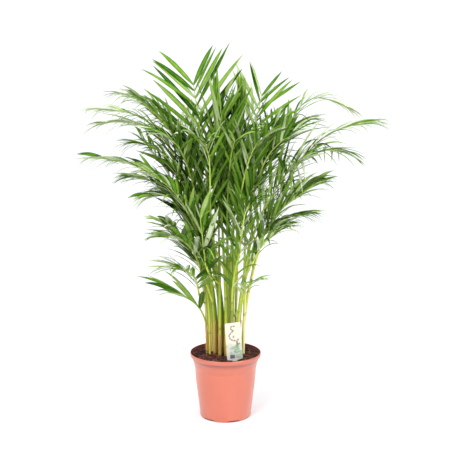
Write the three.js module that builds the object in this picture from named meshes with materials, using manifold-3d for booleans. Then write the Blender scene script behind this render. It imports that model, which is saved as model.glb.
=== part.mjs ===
// A young clump palm in a moulded nursery pot, with its soil and its plant label.
// Millimetres, +Z up, the pot stands on z = 0 and the front of the plant is -Y.
import * as THREE from "three";
import Module from "manifold-3d";

const wasm = await Module();
wasm.setup();

// Pot: thin plastic, one wall all round, with a flared rim and a stepped floor (radius, height).
const SEGMENTS = 24;
const POT_OUTSIDE = [
  [0, 0], [24, 0], [28, 4], [60, 4], [64, 0], [73.5, 0], [75, 2],
  [88.5, 110], [91, 148], [95, 168], [99.5, 178], [104, 184], [105, 189], [104.6, 195],
];
const POT_INSIDE = [
  [102.6, 195], [102, 186], [97.6, 178.5], [93.4, 168.5], [89.5, 148],
  [87, 110], [73.4, 1.5], [64.8, 1.5], [60.8, 5.5], [27.2, 5.5], [23.2, 1.5], [0, 1.5],
];
const DRAIN_HOLES = 6;
const DRAIN_HOLE_RADIUS = 6;
const DRAIN_HOLE_SIDES = 8;
const DRAIN_HOLE_RING = 46;
const DRAIN_SLOTS = 6;
const DRAIN_SLOT_WIDTH = 34;
const DRAIN_SLOT_HEIGHT = 5;
const DRAIN_SLOT_TURN = 49;

// Soil: the root ball fills the pot to a little below its rim, 0.3 mm clear of the wall.
const SOIL_TOP = 187;
const SOIL_OUTSIDE = [
  [0, 1.8], [22.9, 1.8], [26.9, 5.8], [61.1, 5.8], [65.1, 1.8], [73.1, 1.8],
  [86.7, 110], [89.2, 148], [93.1, 168.5], [97.2, 178.5], [101.5, 186], [101.5, SOIL_TOP],
  [0, SOIL_TOP],
];
const FIT = 0.3;
const STALK_DEPTH = 40;
const HOLE_SIDES = 6;
const HOLE_ROOM = 1.6;

// Label: a flat card with a pointed stake.
const LABEL = { width: 47, height: 111, thickness: 0.9, corner: 4 };
const STAKE = { width: 16, length: 62, point: 14, shoulder: 3 };
const LABEL_PLACE = { x: 28, y: -66, above: 2, turn: 14, lean: 3, tilt: 4 };

// Stalks and ribs: four-sided, with two rings at every pair of leaflets.
const MAIN_STEPS = 5;
const SIDE_STEPS = 3;
const BARE_RINGS_TO = 0.88;
const SHEATH_END = 0.36;
const SHEATH_RADIUS = 4.4;
const PETIOLE_RADIUS = 2.9;
const TIP_RADIUS = 1.1;
const TIP_LENGTH = 6;

// Stalks stand close together in a column up to this height before they spread.
const WAIST_HEIGHT = 335;
const WAIST_SPREAD = 1.04;
const WAIST_LEAN = 0.07;

// Leaflets: three-sided blades with a ridge along the midrib, set like the slats of a blind,
// and how much each differs from the next.
const STRAIGHT_BLADE = [0.36];
const ARCHED_BLADE = [0.26, 0.62];
const ARCHED_FROM_SAG = 0.5;
const ROOT_WIDTH = 5;
const RIDGE = 1.3;
const SLAT_ANGLE = 24;
const CLOSURE = 0.2;
const CROWDING = 1.25;
const OPEN_SPREAD = 9;
const FOLD_SPREAD = 12;
const SLAT_SPREAD = 14;
const SIZE_SPREAD = 0.12;
const DROP_SPREAD = 0.5;
const BLADE_GAP = 0.8;
const ROOTED_TO = 0.03;
const FREE_FROM = 0.14;
const BLADE_STEPS = 8;
const SEED = 11;

// Shoots: the place of each foot in the soil and the stalk's radius there.
const SHOOTS = {
  shoot_01: [-38, 36, 5.2],
  shoot_02: [-26, 17, 5.4],
  shoot_03: [-13, 2, 5.7],
  shoot_04: [2, -11, 5.7],
  shoot_05: [19, -4, 5.4],
  shoot_06: [35, 9, 5.4],
  shoot_07: [52, 28, 5.4],
  shoot_08: [-18, 39, 5.4],
  shoot_09: [0, 25, 5.4],
  shoot_10: [19, 23, 5.2],
  shoot_11: [38, 46, 5.2],
  shoot_12: [14, 50, 5.2],
  shoot_13: [-6, 64, 5.2],
  shoot_14: [-34, 62, 5.2],
  shoot_15: [-54, 20, 4.4],
  shoot_16: [35, -9, 4.0],
  shoot_17: [-32, -2, 4.2],
  shoot_18: [10, 9, 4.4],
  shoot_19: [-16, -17, 4.2],
  shoot_20: [53, 8, 4.2],
  shoot_21: [-18, 56, 3.5],
  shoot_22: [29, 33, 3.5],
  shoot_23: [-48, 50, 3.5],
  shoot_24: [-46, 3, 3.5],
  shoot_25: [3, 41, 3.5],
  shoot_26: [18, -22, 3.5],
};

// Fronds: shoot, where it leaves the shoot's first frond (0 is the soil), three points its rib
// passes (knee, crest, tip), bare share, leaflet pairs, leaflet length and width, sag, opening
// angle, fold angle and roll of the frond about its rib. A shoot's first frond comes first.
const FRONDS = [
  ["shoot_03", 0, [-60, -35, 565], [-115, -150, 795], [-145, -260, 855], 0.5, 11, 180, 12, 0.35, 32, 25, 0],
  ["shoot_03", 0.3, [-80, -60, 480], [-90, -70, 545], [-100, -95, 595], 0.3, 4, 125, 16, 0.3, 30, 20, 0],
  ["shoot_08", 0, [-40, 45, 575], [-70, 65, 815], [-95, 80, 990], 0.42, 16, 242, 16, 0.18, 45, 10, -64],
  ["shoot_08", 0.35, [-95, -20, 725], [-185, -30, 890], [-250, -40, 945], 0.45, 13, 145, 10, 0.45, 44, 10, 0],
  ["shoot_09", 0, [15, 30, 645], [40, 50, 790], [60, 60, 935], 0.52, 11, 188, 13, 0.12, 36, 20, -20],
  ["shoot_10", 0, [45, 60, 640], [85, 110, 840], [110, 125, 955], 0.52, 13, 188, 12, 0.16, 42, 12, 40],
  ["shoot_11", 0, [150, 90, 785], [255, 110, 935], [365, 110, 905], 0.42, 15, 150, 8, 0.5, 48, 5, 0],
  ["shoot_11", 0.4, [75, 100, 635], [155, 200, 810], [215, 250, 850], 0.4, 11, 165, 11, 0.4, 42, 20, 0],
  ["shoot_07", 0, [170, -20, 695], [285, -40, 840], [420, -40, 880], 0.4, 15, 150, 8, 0.5, 46, 5, 0],
  ["shoot_07", 0.3, [80, -30, 500], [150, -60, 595], [220, -70, 620], 0.4, 9, 120, 10, 0.5, 42, 10, 0],
  ["shoot_07", 0.38, [70, -80, 605], [115, -160, 795], [160, -210, 850], 0.45, 11, 175, 12, 0.3, 30, 25, 0],
  ["shoot_06", 0, [145, 50, 670], [230, -80, 790], [345, 30, 790], 0.42, 12, 150, 8, 0.55, 48, 5, 0],
  ["shoot_06", 0.28, [80, -60, 510], [160, -90, 640], [245, -100, 705], 0.4, 12, 150, 11, 0.42, 38, 15, 0],
  ["shoot_06", 0.35, [35, -80, 575], [65, -200, 795], [85, -260, 845], 0.45, 11, 185, 12, 0.3, 27, 25, 0],
  ["shoot_13", 0, [-90, 70, 685], [-205, 110, 915], [-315, 120, 950], 0.45, 14, 150, 8, 0.5, 48, 5, 0],
  ["shoot_13", 0.35, [-30, 110, 635], [-45, 210, 840], [-55, 280, 875], 0.42, 11, 175, 12, 0.2, 28, 25, 0],
  ["shoot_01", 0, [-110, 0, 700], [-235, -10, 885], [-375, -10, 915], 0.42, 15, 150, 8, 0.5, 50, 5, 0],
  ["shoot_01", 0.4, [-95, 30, 570], [-205, 50, 695], [-275, 50, 710], 0.35, 8, 125, 10, 0.5, 42, 10, 0],
  ["shoot_14", 0, [-110, 60, 670], [-240, 80, 855], [-365, 90, 865], 0.42, 14, 150, 8, 0.5, 48, 5, 0],
  ["shoot_14", 0.4, [-65, 100, 620], [-115, 200, 830], [-150, 270, 855], 0.4, 12, 175, 12, 0.3, 34, 20, 0],
  ["shoot_02", 0, [-95, -50, 645], [-190, -80, 805], [-255, -90, 825], 0.42, 11, 150, 8, 0.5, 44, 5, 0],
  ["shoot_02", 0.3, [-80, -60, 545], [-155, -85, 670], [-210, -90, 675], 0.35, 9, 135, 13, 0.6, 42, 10, 0],
  ["shoot_15", 0, [-100, -20, 555], [-220, -40, 735], [-370, -50, 780], 0.42, 14, 150, 9, 0.45, 46, 5, 0],
  ["shoot_15", 0.1, [-70, 5, 315], [-90, -10, 345], [-140, -35, 380], 0.35, 4, 165, 17, 0.3, 30, 10, 0],
  ["shoot_15", 0.2, [-70, 0, 350], [-95, -70, 445], [-135, -100, 470], 0.35, 7, 135, 12, 0.48, 44, 10, 0],
  ["shoot_03", 0.25, [-75, -40, 465], [-125, -90, 555], [-165, -120, 600], 0.3, 8, 125, 17, 0.4, 40, 10, 0],
  ["shoot_04", 0, [-10, -60, 600], [-20, -110, 805], [-10, -150, 915], 0.55, 11, 200, 13, 0.15, 26, 25, 0],
  ["shoot_04", 0.35, [-35, -90, 550], [-45, -200, 800], [-55, -260, 840], 0.45, 11, 190, 13, 0.3, 26, 25, 0],
  ["shoot_05", 0, [5, -50, 545], [15, -190, 800], [25, -270, 850], 0.52, 11, 190, 13, 0.3, 26, 25, 0],
  ["shoot_05", 0.15, [45, -40, 345], [60, -50, 400], [80, -80, 430], 0.5, 4, 85, 9, 0.48, 45, 10, 0],
  ["shoot_05", 0.25, [35, -70, 480], [55, -180, 645], [65, -220, 675], 0.5, 7, 150, 12, 0.35, 28, 25, 0],
  ["shoot_12", 0, [30, 100, 620], [65, 200, 835], [90, 260, 905], 0.5, 11, 185, 12, 0.2, 30, 25, 0],
  ["shoot_16", 0, [100, -100, 625], [165, -90, 730], [200, -170, 785], 0.48, 10, 150, 11, 0.4, 40, 15, 0],
  ["shoot_16", 0.3, [70, -50, 460], [110, -80, 540], [160, -100, 590], 0.36, 9, 125, 11, 0.5, 40, 10, 0],
  ["shoot_17", 0, [-75, -90, 560], [-145, -150, 700], [-205, -160, 750], 0.4, 11, 140, 12, 0.4, 40, 15, 0],
  ["shoot_17", 0.25, [-65, -60, 440], [-105, -110, 540], [-160, -140, 570], 0.32, 9, 140, 15, 0.45, 38, 10, 0],
  ["shoot_18", 0, [20, -40, 570], [35, -90, 745], [40, -120, 810], 0.52, 9, 180, 12, 0.2, 25, 25, 0],
  ["shoot_19", 0, [-20, -10, 635], [-25, -20, 795], [-35, -10, 915], 0.52, 10, 195, 13, 0.2, 28, 25, 20],
  ["shoot_19", 0.3, [-50, -110, 465], [-65, -140, 575], [-70, -160, 640], 0.3, 4, 130, 16, 0.3, 24, 20, 0],
  ["shoot_20", 0, [70, -45, 685], [125, 50, 790], [190, 20, 840], 0.5, 9, 160, 10, 0.4, 42, 15, 0],
  ["shoot_21", 0, [-55, 50, 565], [-85, 70, 715], [-105, 80, 785], 0.52, 7, 150, 11, 0.3, 36, 20, 0],
  ["shoot_22", 0, [50, 60, 595], [110, 90, 740], [165, 130, 810], 0.5, 7, 140, 11, 0.35, 38, 20, 0],
  ["shoot_23", 0, [-105, 60, 595], [-195, 80, 755], [-250, 90, 820], 0.45, 8, 130, 10, 0.4, 42, 15, 0],
  ["shoot_24", 0, [-75, -35, 540], [-115, -75, 645], [-150, -90, 690], 0.46, 8, 120, 12, 0.45, 42, 10, 0],
  ["shoot_25", 0, [10, 50, 640], [20, 60, 760], [25, 70, 825], 0.52, 6, 165, 12, 0.25, 34, 25, 0],
  ["shoot_26", 0, [30, -90, 535], [55, -130, 655], [80, -150, 715], 0.5, 7, 140, 12, 0.35, 36, 20, 0],
  ["shoot_26", 0.25, [20, -85, 405], [30, -105, 480], [45, -125, 530], 0.35, 3, 105, 12, 0.5, 30, 15, 0],
];

const UP = new THREE.Vector3(0, 0, 1);

const finish = (color, roughness) => new THREE.MeshStandardMaterial({ color, roughness, metalness: 0 });
const FINISHES = {
  pot: () => finish(0xec8069, 0.42),
  soil: () => finish(0x4a2a20, 0.95),
  label: () => finish(0xe6dfcb, 0.4),
  foliage: () => finish(0x5c8a3a, 0.5),
};

// Seeded draws, so every build grows the same plant.
class Draws {
  constructor(seed) {
    this.state = seed;
  }
  share() {
    this.state = (1664525 * this.state + 1013904223) % 4294967296;
    return this.state / 4294967296;
  }
  spread(amount) {
    return amount * (2 * this.share() - 1);
  }
}

const radians = (degrees) => (degrees * Math.PI) / 180;
const along = (point, direction, distance) => point.clone().addScaledVector(direction, distance);
const square = (vector, axis) => along(vector, axis, -vector.dot(axis)).normalize();

// ---- Solids

function solidFrom(vertices, faces) {
  const vertProperties = new Float32Array(vertices.flatMap((v) => [v.x, v.y, v.z]));
  const triVerts = new Uint32Array(faces.flat());
  return new wasm.Manifold(new wasm.Mesh({ numProp: 3, vertProperties, triVerts }));
}

function solidOf(geometry) {
  const points = geometry.getAttribute("position");
  const seen = new Map();
  const vertices = [];
  const numberOf = [];
  for (let i = 0; i < points.count; i++) {
    const v = new THREE.Vector3().fromBufferAttribute(points, i);
    const key = [v.x, v.y, v.z].map((c) => Math.round(c * 1e4)).join();
    if (!seen.has(key)) {
      seen.set(key, vertices.length);
      vertices.push(v);
    }
    numberOf.push(seen.get(key));
  }
  const corners = geometry.index ? [...geometry.index.array] : numberOf.map((_, i) => i);
  const faces = [];
  for (let i = 0; i < corners.length; i += 3) {
    const [a, b, c] = corners.slice(i, i + 3).map((n) => numberOf[n]);
    if (a !== b && b !== c && c !== a) faces.push([a, b, c]);
  }
  return solidFrom(vertices, faces);
}

function meshOf(solid, name, material) {
  const made = solid.getMesh();
  const geometry = new THREE.BufferGeometry();
  geometry.setAttribute("position", new THREE.BufferAttribute(made.vertProperties, 3));
  geometry.setIndex(new THREE.BufferAttribute(made.triVerts, 1));
  const mesh = new THREE.Mesh(geometry, material);
  mesh.name = name;
  return mesh;
}

function turned(profile) {
  const points = profile.map(([r, z]) => new THREE.Vector2(r, z));
  return solidOf(new THREE.LatheGeometry(points, SEGMENTS).rotateX(Math.PI / 2));
}

function block(width, depth, height) {
  return new THREE.BoxGeometry(width, depth, height);
}

function post(radius, height, sides) {
  return new THREE.CylinderGeometry(radius, radius, height, sides).rotateX(Math.PI / 2);
}

// Two triangles over four corners, split along the diagonal that stands further out, so that
// the walls of a thin twisted body never pass through each other.
function quad(vertices, a, b, c, d) {
  const [p, q, r, s] = [a, b, c, d].map((n) => vertices[n]);
  const normal = q.clone().sub(p).cross(r.clone().sub(p));
  return normal.dot(s.clone().sub(p)) > 0 ? [[a, b, d], [b, c, d]] : [[a, b, c], [a, c, d]];
}

// A closed body through rings of points, ending in a cap of its own at each end.
function loft(rings, tip) {
  const sides = rings[0].length;
  const vertices = rings.flat();
  const faces = [];
  for (let k = 1; k < sides - 1; k++) faces.push([0, k + 1, k]);
  for (let i = 0; i + 1 < rings.length; i++) {
    for (let k = 0; k < sides; k++) {
      const a = i * sides + k;
      const b = i * sides + ((k + 1) % sides);
      faces.push(...quad(vertices, a, b, b + sides, a + sides));
    }
  }
  const last = (rings.length - 1) * sides;
  if (tip) {
    vertices.push(tip);
    for (let k = 0; k < sides; k++) {
      faces.push([last + k, last + ((k + 1) % sides), vertices.length - 1]);
    }
  } else {
    for (let k = 1; k < sides - 1; k++) faces.push([last, last + k, last + k + 1]);
  }
  return solidFrom(vertices, faces);
}

// ---- Pot, soil and label

function pot() {
  let body = turned([...POT_OUTSIDE, ...POT_INSIDE]);
  for (let i = 0; i < DRAIN_HOLES; i++) {
    const hole = post(DRAIN_HOLE_RADIUS, 20, DRAIN_HOLE_SIDES).translate(DRAIN_HOLE_RING, 0, 0);
    body = body.subtract(solidOf(hole.rotateZ(radians((360 * i) / DRAIN_HOLES))));
  }
  for (let i = 0; i < DRAIN_SLOTS; i++) {
    const slot = block(12, DRAIN_SLOT_WIDTH, 2 * DRAIN_SLOT_HEIGHT).translate(74, 0, 0);
    slot.rotateZ(radians(DRAIN_SLOT_TURN + (360 * i) / DRAIN_SLOTS));
    body = body.subtract(solidOf(slot));
  }
  return body;
}

function soil() {
  let body = turned(SOIL_OUTSIDE);
  for (const [x, y, radius] of Object.values(SHOOTS)) {
    const hole = post(radius + HOLE_ROOM, 2 * (STALK_DEPTH + FIT), HOLE_SIDES);
    hole.translate(x, y, SOIL_TOP);
    body = body.subtract(solidOf(hole));
  }
  const depth = STAKE.length - LABEL_PLACE.above + FIT;
  const slot = block(STAKE.width + 2 * FIT, LABEL.thickness + 2 * FIT, 2 * depth);
  return body.subtract(solidOf(slot.applyMatrix4(labelPlace())));
}

// Where the label stands: its origin is in the soil's top, below the card.
function labelPlace() {
  const { x, y, turn, lean, tilt } = LABEL_PLACE;
  const turned = new THREE.Euler(radians(-tilt), radians(-lean), radians(turn), "ZYX");
  return new THREE.Matrix4().makeRotationFromEuler(turned).setPosition(x, y, SOIL_TOP);
}

function label() {
  const half = LABEL.width / 2;
  const top = LABEL.height;
  const outline = new THREE.Shape();
  outline.moveTo(0, -STAKE.length);
  outline.lineTo(STAKE.width / 2, -STAKE.length + STAKE.point);
  outline.lineTo(STAKE.width / 2, 0);
  outline.lineTo(half, STAKE.shoulder);
  outline.lineTo(half, top - LABEL.corner);
  outline.lineTo(half - LABEL.corner, top);
  outline.lineTo(-half + LABEL.corner, top);
  outline.lineTo(-half, top - LABEL.corner);
  outline.lineTo(-half, STAKE.shoulder);
  outline.lineTo(-STAKE.width / 2, 0);
  outline.lineTo(-STAKE.width / 2, -STAKE.length + STAKE.point);
  const card = new THREE.ExtrudeGeometry(outline, { depth: LABEL.thickness, bevelEnabled: false });
  card.rotateX(Math.PI / 2).translate(0, LABEL.thickness / 2, LABEL_PLACE.above);
  return solidOf(card);
}

// ---- Fronds

// A smooth curve through a few points, as a function of the share along it.
function curveThrough(points) {
  const knots = [0];
  for (let i = 1; i < points.length; i++) {
    knots.push(knots[i - 1] + Math.pow(points[i].distanceTo(points[i - 1]), 0.75));
  }
  const slope = (i) =>
    points[i + 1].clone().sub(points[i]).divideScalar(knots[i + 1] - knots[i]);
  const tangents = points.map((_, i) => {
    if (i === 0 || i === points.length - 1) return null;
    const weight = (knots[i] - knots[i - 1]) / (knots[i + 1] - knots[i - 1]);
    return slope(i - 1).lerp(slope(i), weight);
  });
  const end = points.length - 1;
  tangents[0] = slope(0).multiplyScalar(1.5).addScaledVector(tangents[1], -0.5);
  tangents[end] = slope(end - 1).multiplyScalar(1.5).addScaledVector(tangents[end - 1], -0.5);
  const at = (share) => {
    const u = share * knots[end];
    let i = 0;
    while (i < end - 1 && u > knots[i + 1]) i++;
    const h = knots[i + 1] - knots[i];
    const t = (u - knots[i]) / h;
    return new THREE.Vector3()
      .addScaledVector(points[i], 2 * t ** 3 - 3 * t ** 2 + 1)
      .addScaledVector(tangents[i], h * (t ** 3 - 2 * t ** 2 + t))
      .addScaledVector(points[i + 1], 3 * t ** 2 - 2 * t ** 3)
      .addScaledVector(tangents[i + 1], h * (t ** 3 - t ** 2));
  };
  return evenly(Array.from({ length: 97 }, (_, i) => at(i / 96)));
}

// The point at a share of a fine polyline's length.
function evenly(fine) {
  const run = [0];
  for (let i = 1; i < fine.length; i++) run.push(run[i - 1] + fine[i].distanceTo(fine[i - 1]));
  return (share) => {
    const want = share * run.at(-1);
    let i = 0;
    while (i < fine.length - 2 && run[i + 1] < want) i++;
    const t = Math.min(1, Math.max(0, (want - run[i]) / (run[i + 1] - run[i])));
    return fine[i].clone().lerp(fine[i + 1], t);
  };
}

// The rib's direction, its side and its upper side at a share along it.
function frameOf(curve, side, roll) {
  return (share) => {
    const before = curve(Math.max(0, share - 0.02));
    const rib = curve(Math.min(1, share + 0.02)).sub(before).normalize();
    const across = square(side, rib).applyAxisAngle(rib, radians(roll));
    return { rib, across, upper: across.clone().cross(rib) };
  };
}

function stalkRadius(share, frond) {
  const { bare, foot } = frond;
  const leafy = Math.max(0, (share - bare) / (1 - bare));
  if (leafy > 0) return PETIOLE_RADIUS + (TIP_RADIUS - PETIOLE_RADIUS) * leafy;
  if (frond.from > 0) return PETIOLE_RADIUS;
  const sheath = Math.min(1, share / SHEATH_END);
  const petiole = Math.max(0, (share - SHEATH_END) / (bare - SHEATH_END));
  return foot + (SHEATH_RADIUS - foot) * sheath + (PETIOLE_RADIUS - SHEATH_RADIUS) * petiole;
}

function grownFrond(row, number, firsts) {
  const [shoot, from, knee, crest, tip, bare, pairs, length, width, sag, open, fold, roll] = row;
  const [x, y, foot] = SHOOTS[shoot];
  const start = from ? firsts.get(shoot).curve(from) : new THREE.Vector3(x, y, SOIL_TOP);
  const points = [start, ...[knee, crest, tip].map((p) => new THREE.Vector3(...p))];
  if (!from) points.splice(1, 0, waistOf(start, points[1]));
  const curve = curveThrough(points);
  const side = new THREE.Vector3().subVectors(start, points.at(-1)).cross(UP).negate();
  const frame = frameOf(curve, side.normalize(), roll);
  const frond = { shoot, from, foot, bare, pairs, length, width, sag, open, fold, curve, frame };
  frond.number = number;
  frond.reach = lengthOf(curve);
  frond.leaflets = leafletsOf(frond, new Draws(SEED + 101 * number));
  if (!from) firsts.set(shoot, frond);
  return frond;
}

// The point a stalk passes at the height where the stalks start to spread.
function waistOf(foot, knee) {
  const waist = foot.clone().multiplyScalar(WAIST_SPREAD);
  waist.addScaledVector(knee.clone().sub(foot), WAIST_LEAN);
  return waist.setZ(WAIST_HEIGHT);
}

function lengthOf(curve) {
  let length = 0;
  for (let i = 0; i < 24; i++) length += curve(i / 24).distanceTo(curve((i + 1) / 24));
  return length;
}

function leafletsOf(frond, draws) {
  const leaflets = [];
  for (let pair = 0; pair < frond.pairs; pair++) {
    const place = (pair + 0.5 + draws.spread(0.12)) / frond.pairs;
    for (const hand of [-1, 1]) leaflets.push(leaflet(frond, pair, place, hand, draws));
  }
  return leaflets;
}

function leaflet(frond, pair, place, hand, draws) {
  const { bare, length, width, sag, open, fold } = frond;
  const share = bare + (0.99 - bare) * (1 - Math.pow(1 - place, CROWDING));
  const { rib, across, upper } = frond.frame(share);
  const angle = radians(open * (1 - CLOSURE * place) + draws.spread(OPEN_SPREAD));
  const lift = radians(fold + draws.spread(FOLD_SPREAD));
  const outward = across.clone().multiplyScalar(hand * Math.cos(lift));
  outward.addScaledVector(upper, Math.sin(lift));
  const direction = rib.clone().multiplyScalar(Math.cos(angle));
  direction.addScaledVector(outward, Math.sin(angle));
  const bulge = Math.pow(Math.sin(Math.PI * Math.min(1, 0.2 + 0.8 * place)), 0.8);
  const size = length * (0.5 + 0.5 * bulge) * (1 + draws.spread(SIZE_SPREAD));
  const slat = radians(-hand * (SLAT_ANGLE + draws.spread(SLAT_SPREAD)));
  const flat = square(rib, direction).applyAxisAngle(direction, slat);
  const drop = sag * (1 + draws.spread(DROP_SPREAD));
  const wide = width * (0.75 + (0.25 * size) / length);
  const root = frond.curve(share);
  return { frond, pair, hand, share, root, rib, direction, size, flat, drop, wide };
}

// The midrib arches over by its own weight and a little towards the frond's tip.
function midrib({ root, rib, direction, size, drop }) {
  const points = [root.clone()];
  for (let i = 0; i < BLADE_STEPS; i++) {
    const share = (i + 0.5) / BLADE_STEPS;
    const step = direction.clone().addScaledVector(UP, -1.6 * drop * Math.pow(share, 1.6));
    step.addScaledVector(rib, 0.12 * share).normalize();
    points.push(along(points[i], step, size / BLADE_STEPS));
  }
  return points;
}

function bladeWidth(share, wide) {
  const foot = 0.3 + 0.7 * Math.sin((Math.PI / 2) * Math.min(1, share / 0.35));
  return wide * foot * (1 - Math.pow(Math.max(0, (share - 0.5) / 0.5), 2));
}

// Rings of three points (ridge and both edges) at shares along a blade.
function bladeRings(blade, shares, extra) {
  const at = evenly(midrib(blade));
  return shares.map((share) => {
    const centre = at(share);
    const before = at(Math.max(0, share - 0.06));
    const forward = at(Math.min(1, share + 0.06)).sub(before).normalize();
    const flat = square(blade.flat, forward);
    const normal = forward.clone().cross(flat).multiplyScalar(blade.hand);
    const half = bladeWidth(share, blade.wide) / 2 + extra;
    const low = along(centre, normal, -0.3 * RIDGE - extra);
    const top = along(centre, normal, 0.7 * RIDGE + extra);
    const edges = [along(low, flat, -half), along(low, flat, half)];
    return blade.hand > 0 ? [top, ...edges] : [top, ...edges.reverse()];
  });
}

function bladeShares({ frond }) {
  return frond.sag < ARCHED_FROM_SAG ? STRAIGHT_BLADE : ARCHED_BLADE;
}

// A blade on its own and a little fattened, to see what it would touch.
function fatBlade(blade, start) {
  const rings = bladeRings(blade, [start, ...bladeShares(blade)], BLADE_GAP);
  const line = midrib(blade);
  const end = line.at(-1).clone().lerp(line.at(-2), -0.05);
  return loft(rings, end);
}

// The stalk of a frond with its leaflets, as one closed surface: each leaflet grows
// out of one triangle of the rib, between the two rings of its pair.
function frondSolid(frond, blades) {
  const pairs = [...new Set(blades.map((blade) => blade.share))];
  const half = ROOT_WIDTH / 2 / frond.reach;
  const leafy = pairs.flatMap((share) => [share - half, share + half]);
  const shares = [...bareShares(frond), ...leafy];
  const rings = stalkRings(frond, shares);
  const end = shares.at(-1);
  const tip = along(frond.curve(end), frond.frame(end).rib, TIP_LENGTH);
  const vertices = [...rings.flat(), tip];
  const faces = [[0, 2, 1], [0, 3, 2]];
  const buried = rings.length - shares.length;
  rings.forEach((_, i) => {
    const share = shares[i - buried];
    const rooted = blades.filter((blade) => Math.abs(blade.share - half - share) < 1e-9);
    for (let k = 0; k < 4; k++) {
      const [a, b] = [4 * i + k, 4 * i + ((k + 1) % 4)];
      if (i === rings.length - 1) {
        faces.push([a, b, vertices.indexOf(tip)]);
        continue;
      }
      const hand = k === 3 ? 1 : k === 2 ? -1 : 0;
      const blade = rooted.find((one) => one.hand === hand);
      const halves = [[a, b, b + 4], [a, b + 4, a + 4]];
      if (!blade) faces.push(...halves);
      else if (hand > 0) faces.push(halves[1], ...bladeFaces(blade, halves[0], vertices));
      else faces.push(halves[0], ...bladeFaces(blade, [b + 4, a + 4, a], vertices));
    }
  });
  return solidFrom(vertices, faces);
}

function bladeFaces(blade, root, vertices) {
  const faces = [];
  let ring = root;
  for (const points of bladeRings(blade, bladeShares(blade), 0)) {
    const next = points.map((point) => vertices.push(point) - 1);
    for (let k = 0; k < 3; k++) {
      const m = (k + 1) % 3;
      faces.push(...quad(vertices, ring[k], ring[m], next[m], next[k]));
    }
    ring = next;
  }
  const tip = vertices.push(midrib(blade).at(-1)) - 1;
  for (let k = 0; k < 3; k++) faces.push([ring[k], ring[(k + 1) % 3], tip]);
  return faces;
}

// Rings in the order side, underside, other side, top.
function stalkRings(frond, shares, extra = 0) {
  const ring = (centre, across, upper, radius) => [
    along(centre, across, radius),
    along(centre, upper, -radius),
    along(centre, across, -radius),
    along(centre, upper, radius),
  ];
  const rings = shares.map((share) => {
    const { across, upper } = frond.frame(share);
    return ring(frond.curve(share), across, upper, stalkRadius(share, frond) + extra);
  });
  if (frond.from) return rings;
  const across = square(frond.frame(0).across, UP);
  const upper = across.clone().cross(UP);
  const [x, y] = SHOOTS[frond.shoot];
  const level = (z) => ring(new THREE.Vector3(x, y, z), across, upper, frond.foot + extra);
  return [level(SOIL_TOP - STALK_DEPTH), level(SOIL_TOP + 1), ...rings.slice(1)];
}

// Where the rings of a bare stalk stand, as shares along the frond.
function bareShares(frond) {
  const steps = frond.from ? SIDE_STEPS : MAIN_STEPS;
  const last = frond.bare * BARE_RINGS_TO;
  return Array.from({ length: steps }, (_, i) => (last * i) / (steps - 1));
}

function fatStalk(frond) {
  const leafy = frond.leaflets.filter((blade) => blade.hand > 0).map((blade) => blade.share);
  return loft(stalkRings(frond, [...bareShares(frond), ...leafy], BLADE_GAP));
}

// ---- Clearance between leaflets

function boxesMeet(a, b) {
  return [0, 1, 2].every((i) => a.min[i] < b.max[i] && b.min[i] < a.max[i]);
}

function meets(a, b) {
  return boxesMeet(a.boundingBox(), b.boundingBox()) && !a.intersect(b).isEmpty();
}

// Leaflets are kept where they stand clear of everything else, every other pair first.
function keptLeaflets(fronds) {
  const placed = fronds.map((frond) => ({ frond, whole: fatStalk(frond) }));
  const kept = new Map(fronds.map((frond) => [frond, []]));
  for (const turn of [0, 1]) {
    for (const frond of fronds) {
      for (const blade of frond.leaflets) {
        if ((frond.pairs - 1 - blade.pair) % 2 !== turn) continue;
        const whole = fatBlade(blade, ROOTED_TO);
        const free = fatBlade(blade, FREE_FROM);
        const crossed = placed.some((other) =>
          other.frond === frond ? meets(free, other.free ?? other.whole) : meets(whole, other.whole),
        );
        if (crossed) continue;
        kept.get(frond).push(blade);
        placed.push({ frond, whole, free });
      }
    }
  }
  for (const blades of kept.values()) blades.sort((a, b) => a.share - b.share);
  return kept;
}

// Every shoot as a mesh of its own, placed at its foot in the soil.
function plant() {
  const firsts = new Map();
  const fronds = FRONDS.map((row, number) => grownFrond(row, number, firsts));
  const kept = keptLeaflets(fronds);
  const group = new THREE.Group();
  for (const [name, [x, y]] of Object.entries(SHOOTS)) {
    const own = fronds.filter((frond) => frond.shoot === name);
    const whole = wasm.Manifold.union(own.map((frond) => frondSolid(frond, kept.get(frond))));
    const shoot = meshOf(whole.translate(-x, -y, -SOIL_TOP), name, FINISHES.foliage());
    shoot.position.set(x, y, SOIL_TOP);
    group.add(shoot);
  }
  return group;
}

const palm = new THREE.Group();
const card = meshOf(label(), "label", FINISHES.label());
card.applyMatrix4(labelPlace());
palm.add(meshOf(pot(), "pot", FINISHES.pot()), meshOf(soil(), "soil", FINISHES.soil()), card, plant());

export default palm;
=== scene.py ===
"""A young clump palm in a moulded nursery pot, with its soil and its plant label.

Shapes are worked out in millimetres and meshed in metres, with +Z up. Each shoot is grown from
the same sizes and draws as its solid, with every leaflet, a fold, veins and dry sheaths.
"""

import math

import bmesh
import bpy
from mathutils import Matrix, Vector, noise


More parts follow.
